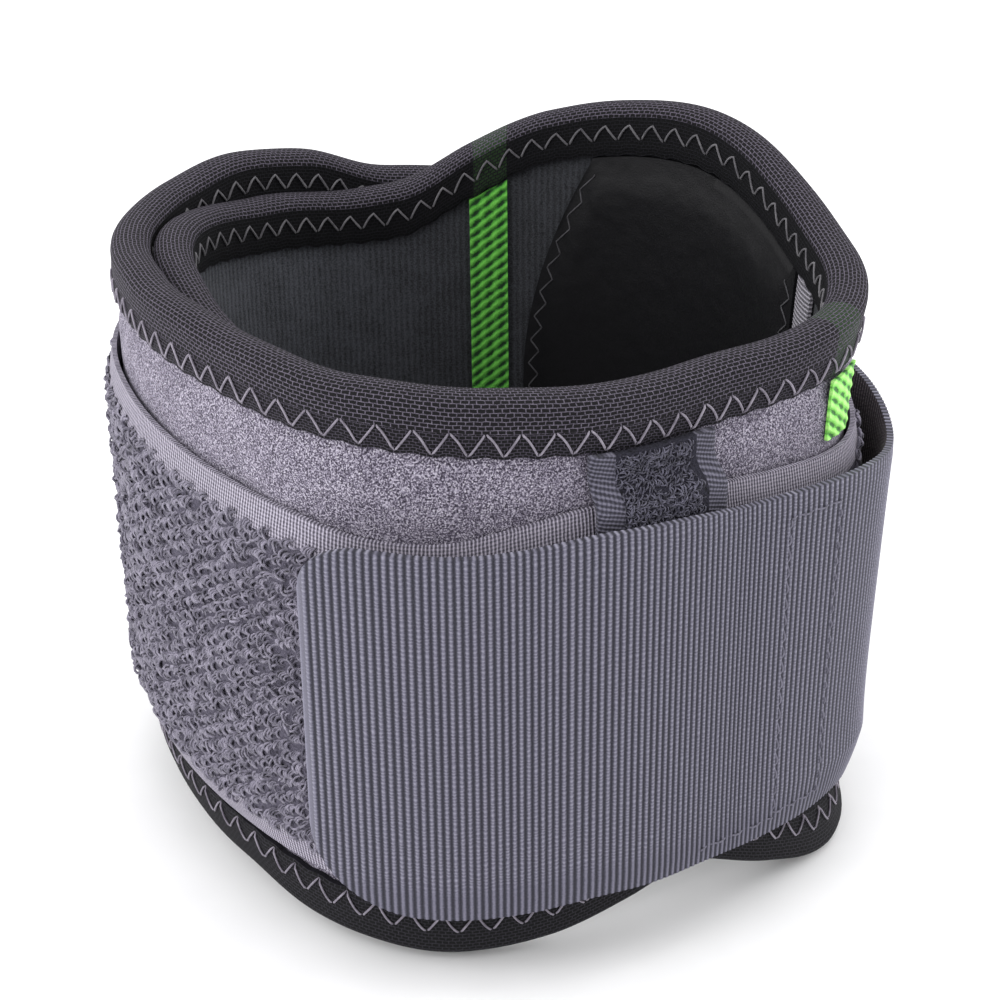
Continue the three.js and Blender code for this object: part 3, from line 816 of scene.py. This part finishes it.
def make_binding():
    section, width, skin_rows = binding_section()
    columns = len(edge_path)
    rows = len(section)
    full = width[skin_rows - 1]

    def place(column, row):
        run = edge_run[column]
        at = row % rows
        depth, out = section[at, 0], section[at, 1]
        draw = 0.18 * np.cos(2 * math.pi * run / stitch_pitch) * smooth(depth, 3, 6)
        return on_binding(run, depth + draw, out), run, width[at]

    def zone(along, across, row):
        low = np.interp(along, edge_run, closed_path[:, 1]) < BRACE_HEIGHT / 2
        # Zone 2, the inner leg, takes the near-black copy of the tape that stands for painted shade
        zones = np.where(across < 2.9, 1, np.where(across > full - 5.6, 2, 0))
        # Painted shade: the lower half of the edge takes the darker hem copy of the tape
        zones = np.where(low, 3, zones)
        return np.where(row > skin_rows - 1, 2, zones)

    piece = sew("mesh_binding", binding_finishes(), columns, rows, place, zone, sharp=75)
    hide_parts("edge_binding")
    return piece


def make_zigzag(name, material, out, low, high, radius, dip_low):
    """A seam whose points lie at two depths. Where it dips into the cloth, only its legs show."""
    run = np.linspace(0, edge_length, stitch_count * 14, endpoint=False)
    share = (run / stitch_pitch) % 1
    leg = np.abs(2 * share - 1)
    arch = -0.42 * np.sin(leg * math.pi) * (share > 0.5)
    depth = low + (high - low) * leg + arch
    dip = 0.4 * (1 - smooth(1 - leg, 0, 0.14)) + dip_low * (1 - smooth(leg, 0, 0.14))
    dip = dip - 0.1 * np.sin(np.minimum(leg, 1 - leg) * math.pi)
    path = on_binding(run, depth, out - np.sign(out) * dip)
    outward = unit(on_binding(run, depth, 0 * run + out) - on_binding(run, depth, 0 * run))
    return thread(name, material, path, outward, radius, closed=True)


binding = make_binding()
outer_zigzag = make_zigzag("outer_zigzag", seam_thread, BOUND_FACE + 0.08, 2.8, 5.75, 0.15, 0.35)
inner_zigzag = make_zigzag("inner_zigzag", dark_thread, -BOUND_FACE - 0.05, 1.6, 3.9, 0.16, 0.0)


# The loop webbing

seam_start = go_round(OUTER_END, BIND_DEPTH + 2 * SEWN_GAP)
seam_end = go_round(seam_start, 15)


def sag(turn):
    """How far the straps' upper edges hang down at the front right."""
    return 1.2 * smooth(turn, 298, 318) * (1 - smooth(turn, 352, 372))


def make_pile_strap():
    columns = 230
    rise, face = rows_round(26)
    length = run_at(PILE_END) - run_at(seam_start)

    def place(column, row):
        distance = length * column / columns
        turn = go_round(seam_start, distance)
        up = rise[row] * STRAP_WIDTH
        from_edge = np.minimum(up, STRAP_WIDTH - up)
        raised = 0.35 * smooth(from_edge, SELVAGE - 0.3, SELVAGE + 0.4)
        skin = smooth(from_edge, -0.4, 0.3) + raised
        out = np.where(face[row] > 0, CLEAR_FACE + skin, CLEAR_FACE)
        height = pile_foot_at(turn) + up - sag(turn) * smooth(up, 30, STRAP_WIDTH)
        return wall_point(turn, out, height), distance, up

    def zone(along, across, row):
        from_edge = np.minimum(across, STRAP_WIDTH - across)
        return np.where(from_edge < SELVAGE, 0, 1)

    piece = sew("loop_webbing", [selvage, pile_ground], columns, len(rise) - 1, place, zone)
    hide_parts("pile_strap")
    return piece, length


def lay_tufts(
        name, material, start, end, heights, surface, size, apart, strands, seed,
        mess=0.14, thick=0.25):
    """Tufts in staggered columns on a strap, between two turns and two heights.

    Each is a few strands of thread side by side, bent over until they lie almost flat. A share of
    them, the mess, lies any way round."""
    chance = np.random.default_rng(seed)
    length = run_at(end) - run_at(start)
    low, high = heights
    columns = []
    for index, distance in enumerate(np.arange(0.4, length - 0.3, apart)):
        ups = np.arange(low + 0.3 + 0.7 * apart * (index % 2), high - 0.2, 1.4 * apart)
        columns.append(np.column_stack((np.full(len(ups), distance), ups)))
    tufts = np.concatenate(columns)
    tufts += chance.normal(0, 0.13 * apart, tufts.shape)
    strand = np.tile(np.arange(strands) - (strands - 1) / 2, len(tufts))
    places = np.repeat(tufts, strands, axis=0)
    count = len(places)
    loose = chance.random(count) < mess
    tuft_yaw = np.repeat(chance.normal(0, 0.25, len(tufts)), strands)
    set_yaw = math.pi / 2 + tuft_yaw + chance.normal(0, 0.1, count)
    tuft_tilt = np.repeat(chance.normal(0, 0.15, len(tufts)), strands)
    set_tilt = 0.95 + tuft_tilt + chance.normal(0, 0.08, count)
    yaw = np.where(loose, chance.uniform(0, math.pi, count), set_yaw)
    tilt = np.where(loose, chance.normal(0, 0.5, count), set_tilt)
    distance = np.clip(places[:, 0] + 0.4 * size * strand, 0.3, length - 0.3)
    up = np.clip(places[:, 1] + chance.normal(0, 0.06 * apart, count), low + 0.1, high - 0.1)
    turn = go_round(start, distance)
    height, out = surface(turn, up)
    origins = wall_point(turn, out, height)
    round_way, up_way, out_way = wall_axes(turn, out, height)
    heading = np.cos(yaw)[:, None] * round_way + np.sin(yaw)[:, None] * up_way
    side = np.cross(out_way, heading)
    stand = np.cos(tilt)[:, None] * out_way + np.sin(tilt)[:, None] * side
    side = np.cross(stand, heading)
    scale = (size * chance.uniform(0.85, 1.12, count) * MM)[:, None]
    frames = np.stack((heading * scale, side * scale, stand * scale), axis=2)
    return scatter(name, material, curl(205, 0.5, thick), origins, frames)


def pile_surface(turn, up):
    return pile_foot_at(turn) + up, CLEAR_FACE + 1.28 + 0 * turn


pile_strap, pile_length = make_pile_strap()
pile_field = (SELVAGE - 0.4, STRAP_WIDTH - SELVAGE)
pile_patches = (
    ("left_tufts", 150, 264, 4, 5), ("back_tufts", seam_end, 150, 3, 6),
    ("right_tufts", 348, PILE_END, 3, 7),
)
tufts = [
    lay_tufts(name, pile_yarn, start, end, pile_field, pile_surface, 0.78, 1.42, strands, seed)
    for name, start, end, strands, seed in pile_patches
]


# The pull strap

pull_length = run_at(seam_end + 360) - run_at(FREE_END)
pull_ribs = round(pull_length / 0.76)
rib_pitch = pull_length / pull_ribs


def make_pull_strap():
    columns, face_rows = pull_ribs * 4, 24
    rise, face = rows_round(face_rows)
    outside = elastic_finish(
        "ribbed_elastic", tone(108, 106, 122), tone(63, 62, 75), tone(32, 31, 41),
        tone(138, 136, 152), rib_pitch)
    inside = elastic_finish(
        "elastic_inside", tone(112, 105, 105), tone(84, 79, 79), tone(50, 47, 48),
        tone(124, 117, 117), rib_pitch)

    def place(column, row):
        distance = pull_length * column / columns
        turn = go_round(FREE_END, distance)
        low = corner_loss(distance, PULL_FOOT_CORNER)
        high = PULL_WIDTH - corner_loss(distance, PULL_TOP_CORNER) - sag(turn)
        up = low + (high - low) * rise[row]
        edge = smooth(np.minimum(np.minimum(up - low, high - up), distance), -0.5, 0.5)
        rib = 0.1 * np.cos(2 * math.pi * distance / rib_pitch)
        middle = pull_face_at(turn, up) + 0.95
        half = 0.55 * (0.5 + 0.5 * edge) + rib * (0.4 + 0.6 * edge)
        out = middle + np.where(face[row] > 0, half, -half)
        return wall_point(turn, out, pull_foot_at(turn) + up), distance, up

    def zone(along, across, row):
        return np.where(row < face_rows, 0, 1)

    return sew("ribbed_pull_strap", [outside, inside], columns, len(rise) - 1, place, zone)


def sew_line(name, material, corners, stitch=2.3):
    """Running stitches on the pull strap through corners given as turn and distance up."""
    corners = np.array([(run_at(turn), up) for turn, up in corners])
    lengths = np.concatenate(([0], np.cumsum(np.linalg.norm(np.diff(corners, axis=0), axis=1))))
    run = np.arange(0, lengths[-1], 0.2)
    turn = np.interp(np.interp(run, lengths, corners[:, 0]), run_table, whole_turns)
    up = np.interp(run, lengths, corners[:, 1])
    out = pull_face_at(turn, up) + 1.52 + 0.22 * np.cos(2 * math.pi * run / stitch)
    height = pull_foot_at(turn) + up
    path = wall_point(turn, out, height)
    return thread(name, material, path, wall_axes(turn, out, height)[2], 0.13)


pull_strap = make_pull_strap()
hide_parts("pull_strap")
box_corners = [(325.5, 46.4), (334.5, 46.6), (334.5, 3), (325.5, 3), (325.5, 46.4)]
box = sew_line("box_stitch", box_thread, box_corners)
foot_line = sew_line("foot_stitch", box_thread, [(309, 2.2), (325.5, 2.4)], 3.1)


def make_hook_patch():
    start = go_round(FREE_END, HOOK_INSET)
    columns = 20
    rise, face = rows_round(12)
    length = PULL_WIDTH - 2 * HOOK_INSET

    def place(column, row):
        distance = HOOK_WIDTH * column / columns
        turn = go_round(start, distance)
        up = HOOK_INSET + length * rise[row]
        top = pull_face_at(turn, up) - SEWN_GAP
        height = pull_foot_at(turn) + up
        return wall_point(turn, np.where(face[row] > 0, top, top - 1), height), distance, height

    piece = sew("hook_strip", [hook_cloth], columns, len(rise) - 1, place)
    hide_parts("hook_patch")


make_hook_patch()


# The keeper

keeper_start = go_round(KEEPER_TURN, -KEEPER_WIDTH / 2)


def keeper_low(turn):
    return np.minimum(over_binding(turn), pile_foot_at(turn) - SEWN_GAP - KEEPER_STEP)


def keeper_face(turn, height):
    """How far out the keeper's inner face lies as it steps over the loop webbing."""
    pile_top = over_webbing(turn)
    pile_foot = pile_foot_at(turn) - SEWN_GAP
    low = keeper_low(turn)
    on_band = PUFF_FACE + SEWN_GAP
    fall = smooth(height, pile_top, (pile_top + under_binding(turn)) / 2)
    rise = smooth(height, 2 * low - pile_foot, pile_foot)
    return on_band + (OVER_PILE - on_band) * (1 - fall) * rise


def make_keeper():
    columns = 34
    rise, face = rows_round(60)

    def place(column, row):
        across = KEEPER_WIDTH * column / columns
        turn = go_round(keeper_start, across)
        low = keeper_low(turn) - 0.2
        high = under_binding(turn) + 0.3
        height = low + (high - low) * rise[row]
        inner = keeper_face(turn, height)
        from_edge = np.minimum(across, KEEPER_WIDTH - across)
        thick = 0.9 * (0.5 + 0.5 * smooth(from_edge, -0.3, 0.4))
        return wall_point(turn, np.where(face[row] > 0, inner + thick, inner), height), across, height

    def zone(along, across, row):
        return np.where(np.minimum(along, KEEPER_WIDTH - along) < KEEPER_SELVAGE, 0, 1)

    materials = [keeper_selvage, keeper_ground]
    piece = sew("keeper_webbing", materials, columns, len(rise) - 1, place, zone)
    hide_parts("keeper_tape")

    def surface(turn, height):
        return height, keeper_face(turn, height) + 0.72

    start, end = go_round(keeper_start, 3), go_round(keeper_start, KEEPER_WIDTH - 3.4)
    keeper_patches = (
        ("keeper_upper_tufts", (55, 70.8), 0.62, 5, 11), ("keeper_lower_tufts", (14, 16.5), 0.8, 3, 12),
    )
    pieces = [
        lay_tufts(
            name, keeper_yarn, start, end, heights, surface, 0.5, apart, strands, seed,
            mess=0.8, thick=0.19)
        for name, heights, apart, strands, seed in keeper_patches
    ]


make_keeper()


# The pad inside

def pad_place(share, up, out):
    """A point on the pad, from its shares of the pad's length and height."""
    length = PAD_LENGTH + PAD_BULGE * (1 - (2 * up - 1) ** 2)
    turn = go_round(PAD_TURN, length * share)
    low = over_binding(turn)
    height = low + (under_binding(turn) - low) * up
    return wall_point(turn, out, height), length * share, up * PAD_HEIGHT


def pad_swell(from_edge):
    return 0.35 + 0.65 * smooth(from_edge, 0, 5)


def make_pad():
    columns = 60
    rise, face = rows_round(48)

    def place(column, row):
        share = column / columns
        up = rise[row]
        from_side = np.minimum(share, 1 - share) * PAD_MEAN_LENGTH
        from_edge = np.minimum(from_side, np.minimum(up, 1 - up) * PAD_HEIGHT)
        out = np.where(face[row] > 0, INNER_FACE, INNER_FACE - 2 * pad_swell(from_edge))
        return pad_place(share, up, out)

    piece = sew("arm_pad", [pad_cover], columns, len(rise) - 1, place, sharp=80)
    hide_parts("pressure_pad")


def edge_the_pad(name, from_side, way):
    """A zigzag seam just inside one upright side of the pad."""
    up = np.arange(0.03, 0.97, 0.0045)
    swing = np.abs(2 * ((up * PAD_HEIGHT / 3.4) % 1) - 1)
    inset = 0.7 + 1.5 * swing
    out = INNER_FACE - 2 * pad_swell(inset) - 0.06
    share = from_side + way * inset / PAD_MEAN_LENGTH
    path = pad_place(share, up, out)[0]
    outward = unit(pad_place(share, up, out - 1)[0] - path)
    thread(name, pad_thread, path, outward, 0.12)


def make_folded_edge():
    """The narrow ribbed edge that shows between the pad's straight side and the right end."""
    width, length, columns = 5.2, 24, 10
    start = go_round(PAD_TURN, -width - 0.6)
    rise, face = rows_round(30)

    def place(column, row):
        across = width * column / columns
        turn = go_round(start, across)
        height = under_binding(turn) - length + length * rise[row]
        bulge = 0.5 + 0.3 * np.sin(math.pi * column / columns)
        out = np.where(face[row] > 0, INNER_FACE, INNER_FACE - bulge)
        return wall_point(turn, out, height), across, height

    piece = sew("folded_edge", [edge_cords], columns, len(rise) - 1, place)


make_pad()
edge_the_pad("pad_round_stitch", 1, -1)
edge_the_pad("pad_straight_stitch", 0, 1)
make_folded_edge()


# The green tapes

def make_green_tape(name, node, finish, start, face_in, low_at):
    columns = 12
    rise, face = rows_round(90)

    def place(column, row):
        across = GREEN_WIDTH * column / columns
        turn = go_round(start, across)
        low = low_at(turn)
        height = low + (under_binding(turn) - low) * rise[row]
        rung = 0.09 * np.cos(2 * math.pi * (height + 0.8 * across) / GREEN_PITCH)
        out = face_in + np.where(face[row] > 0, 0.4 + rung, 0)
        return wall_point(turn, out, height), across, height

    piece = sew(name, [finish], columns, len(rise) - 1, place)
    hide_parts(node)
    middle = go_round(start, GREEN_WIDTH / 2)
    length = float(under_binding(middle) - low_at(middle))


make_green_tape(
    "inner_green_tape", "green_tape_inner", inner_green, inner_green_start, INNER_FACE - 0.5, over_binding)
make_green_tape(
    "outer_green_tape", "green_tape_outer", outer_green, outer_green_start, PUFF_FACE + SEWN_GAP,
    over_webbing)


# The studio

def make_floor():
    grid = bmesh.new()
    bmesh.ops.create_grid(grid, x_segments=4, y_segments=4, size=1.5)
    mesh = bpy.data.meshes.new("floor")
    grid.to_mesh(mesh)
    grid.free()
    paper = Finish("pale_paper", roughness=0.8, specular=0.2)
    grain = paper.noise(paper.object_place, 60, 2)
    shades = paper.ramp(grain, (0.3, tone(244, 244, 245)), (0.7, tone(248, 248, 249)))
    mesh.materials.append(paper.finish(shades))
    floor = bpy.data.objects.new("floor", mesh)
    floor.location.z = cad_box[0][2] - 0.0002
    bpy.context.scene.collection.objects.link(floor)


def add_light(name, place, aim, size, power):
    light = bpy.data.lights.new(name, "AREA")
    light.shape = "DISK"
    light.size = size
    light.energy = power
    lamp = bpy.data.objects.new(name, light)
    lamp.location = place
    lamp.rotation_euler = (Vector(aim) - Vector(place)).to_track_quat("-Z", "Y").to_euler()
    bpy.context.scene.collection.objects.link(lamp)


def light_studio():
    world = bpy.data.worlds.new("studio")
    world.use_nodes = True
    world.node_tree.nodes["Background"].inputs["Color"].default_value = (1, 1, 1, 1)
    world.node_tree.nodes["Background"].inputs["Strength"].default_value = 1.0
    bpy.context.scene.world = world
    bpy.context.scene.view_settings.view_transform = "Standard"
    aim = (0, 0, 0.04)
    add_light("key", (-0.45, -0.45, 0.45), aim, 0.6, 2.6)
    add_light("right side", (0.6, 0.15, 0.3), aim, 0.5, 1.9)
    add_light("left side", (-0.6, 0.05, 0.3), aim, 0.5, 1.2)
    add_light("top", (0, 0.2, 0.8), aim, 0.7, 2)


make_floor()
light_studio()
